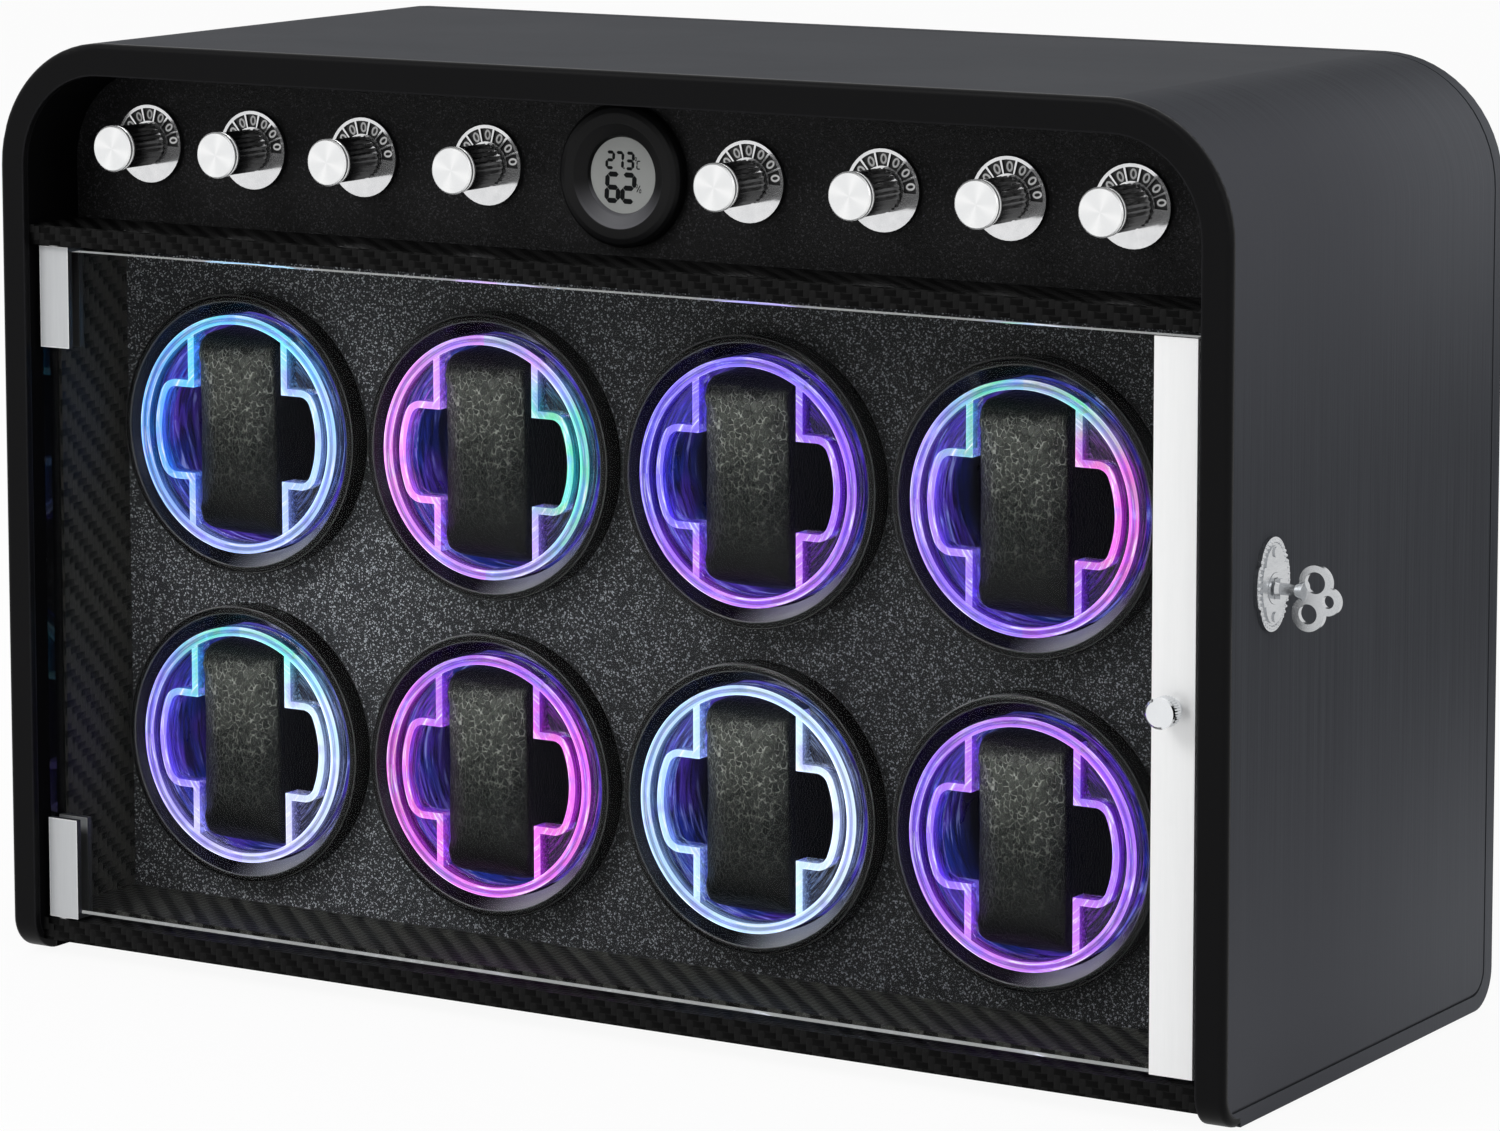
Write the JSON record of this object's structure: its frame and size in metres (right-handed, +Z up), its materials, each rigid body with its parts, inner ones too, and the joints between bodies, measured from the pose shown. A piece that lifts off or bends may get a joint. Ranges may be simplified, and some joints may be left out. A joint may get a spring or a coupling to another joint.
{
  "type": "watch winder cabinet",
  "caption": "Arched watch winder cabinet with a lockable glass door, lit turning cushion cups, ribbed speed knobs and a round hygrometer.",
  "frame": {"origin": "centre of the footprint, midway between the side walls and between the front frame and the rear edge, on the surface that the feet stand on", "axes": "+X to the right seen from the front, +Y from the door towards the rear panel, +Z up"},
  "size_m": [0.505, 0.205, 0.325],
  "materials": {
    "wrap": "brushed dark grey leatherette wrap, satin",
    "black_frame": "black satin",
    "carbon": "woven carbon-pattern laminate",
    "pebbled": "pebbled black leatherette",
    "black_gloss": "gloss black",
    "black_matte": "matte black",
    "cushion": "grained black leatherette",
    "cup": "dark blue translucent plastic",
    "clear": "clear moulded acrylic, lit from behind",
    "glass": "clear tempered glass",
    "chrome": "polished",
    "spun": "spun face, ribbed grip",
    "steel": "zinc plated",
    "screw_black": "black oxide",
    "board": "green circuit board",
    "board_white": "white circuit board with lamps",
    "screen": "grey liquid-crystal display",
    "rubber": "black"
  },
  "bodies": {
    "cabinet": {"cabinet_shell": "wrap", "front_bezel": "black_frame", "base_board": "carbon", "divider_rail": "carbon", "control_panel": "pebbled", "rotor_panel": "pebbled", "bay_lining": "carbon", "rotor_rings": "black_gloss", "back_panel": "black_matte", "back_screws": "screw_black", "gear_motors": "steel", "light_boards": "board_white", "control_board": "board", "potentiometers": "steel", "dial_plates": "chrome", "hygrometer_housing": "black_matte", "hygrometer_screen": "screen", "power_jack": "black_matte", "feet": "rubber", "lock_escutcheon": "chrome", "lock_barrel": "steel"},
    "door": {"door_glass": "glass", "hinge_clamps": "chrome", "handle_strip": "chrome", "door_knob": "chrome", "door_strike": "steel"},
    "rotor_1": {"cup_1": "cup", "light_ring_1": "clear", "cushion_1": "cushion"},
    "rotor_2": {"cup_2": "cup", "light_ring_2": "clear", "cushion_2": "cushion"},
    "rotor_3": {"cup_3": "cup", "light_ring_3": "clear", "cushion_3": "cushion"},
    "rotor_4": {"cup_4": "cup", "light_ring_4": "clear", "cushion_4": "cushion"},
    "rotor_5": {"cup_5": "cup", "light_ring_5": "clear", "cushion_5": "cushion"},
    "rotor_6": {"cup_6": "cup", "light_ring_6": "clear", "cushion_6": "cushion"},
    "rotor_7": {"cup_7": "cup", "light_ring_7": "clear", "cushion_7": "cushion"},
    "rotor_8": {"cup_8": "cup", "light_ring_8": "clear", "cushion_8": "cushion"},
    "knob_1": {"speed_knob_1": "spun"},
    "knob_2": {"speed_knob_2": "spun"},
    "knob_3": {"speed_knob_3": "spun"},
    "knob_4": {"speed_knob_4": "spun"},
    "knob_5": {"speed_knob_5": "spun"},
    "knob_6": {"speed_knob_6": "spun"},
    "knob_7": {"speed_knob_7": "spun"},
    "knob_8": {"speed_knob_8": "spun"},
    "lock_cylinder": {"lock_plug": "chrome"},
    "key_body": {"key": "chrome"}
  },
  "joints": [
    {"name": "door_swing", "type": "hinge", "parent": "cabinet", "child": "door", "pos_m": [-0.222, -0.0913, 0.1294], "axis": [0, 0, -1], "range_deg": [0, 100]},
    {"name": "rotor_1_spin", "type": "hinge", "parent": "cabinet", "child": "rotor_1", "pos_m": [-0.17405, -0.0439, 0.1849], "axis": [0, 1, 0], "continuous": true},
    {"name": "rotor_2_spin", "type": "hinge", "parent": "cabinet", "child": "rotor_2", "pos_m": [-0.06895, -0.0439, 0.1849], "axis": [0, 1, 0], "continuous": true},
    {"name": "rotor_3_spin", "type": "hinge", "parent": "cabinet", "child": "rotor_3", "pos_m": [0.03615, -0.0439, 0.1849], "axis": [0, 1, 0], "continuous": true},
    {"name": "rotor_4_spin", "type": "hinge", "parent": "cabinet", "child": "rotor_4", "pos_m": [0.14125, -0.0439, 0.1849], "axis": [0, 1, 0], "continuous": true},
    {"name": "rotor_5_spin", "type": "hinge", "parent": "cabinet", "child": "rotor_5", "pos_m": [-0.17405, -0.0439, 0.0739], "axis": [0, 1, 0], "continuous": true},
    {"name": "rotor_6_spin", "type": "hinge", "parent": "cabinet", "child": "rotor_6", "pos_m": [-0.06895, -0.0439, 0.0739], "axis": [0, 1, 0], "continuous": true},
    {"name": "rotor_7_spin", "type": "hinge", "parent": "cabinet", "child": "rotor_7", "pos_m": [0.03615, -0.0439, 0.0739], "axis": [0, 1, 0], "continuous": true},
    {"name": "rotor_8_spin", "type": "hinge", "parent": "cabinet", "child": "rotor_8", "pos_m": [0.14125, -0.0439, 0.0739], "axis": [0, 1, 0], "continuous": true},
    {"name": "knob_1_turn", "type": "hinge", "parent": "cabinet", "child": "knob_1", "pos_m": [-0.1965, -0.0695, 0.2881], "axis": [0, 1, 0], "range_deg": [-135, 135]},
    {"name": "knob_2_turn", "type": "hinge", "parent": "cabinet", "child": "knob_2", "pos_m": [-0.152, -0.0695, 0.2881], "axis": [0, 1, 0], "range_deg": [-135, 135]},
    {"name": "knob_3_turn", "type": "hinge", "parent": "cabinet", "child": "knob_3", "pos_m": [-0.1055, -0.0695, 0.2881], "axis": [0, 1, 0], "range_deg": [-135, 135]},
    {"name": "knob_4_turn", "type": "hinge", "parent": "cabinet", "child": "knob_4", "pos_m": [-0.0545, -0.0695, 0.2881], "axis": [0, 1, 0], "range_deg": [-135, 135]},
    {"name": "knob_5_turn", "type": "hinge", "parent": "cabinet", "child": "knob_5", "pos_m": [0.0485, -0.0695, 0.2881], "axis": [0, 1, 0], "range_deg": [-135, 135]},
    {"name": "knob_6_turn", "type": "hinge", "parent": "cabinet", "child": "knob_6", "pos_m": [0.0995, -0.0695, 0.2881], "axis": [0, 1, 0], "range_deg": [-135, 135]},
    {"name": "knob_7_turn", "type": "hinge", "parent": "cabinet", "child": "knob_7", "pos_m": [0.146, -0.0695, 0.2881], "axis": [0, 1, 0], "range_deg": [-135, 135]},
    {"name": "knob_8_turn", "type": "hinge", "parent": "cabinet", "child": "knob_8", "pos_m": [0.1905, -0.0695, 0.2881], "axis": [0, 1, 0], "range_deg": [-135, 135]},
    {"name": "lock_turn", "type": "hinge", "parent": "cabinet", "child": "lock_cylinder", "pos_m": [0.24, -0.0718, 0.171], "axis": [1, 0, 0], "range_deg": [0, 90]},
    {"name": "key_pull", "type": "slide", "parent": "lock_cylinder", "child": "key_body", "axis": [1, 0, 0], "range_m": [0, 0.024]}
  ]
}
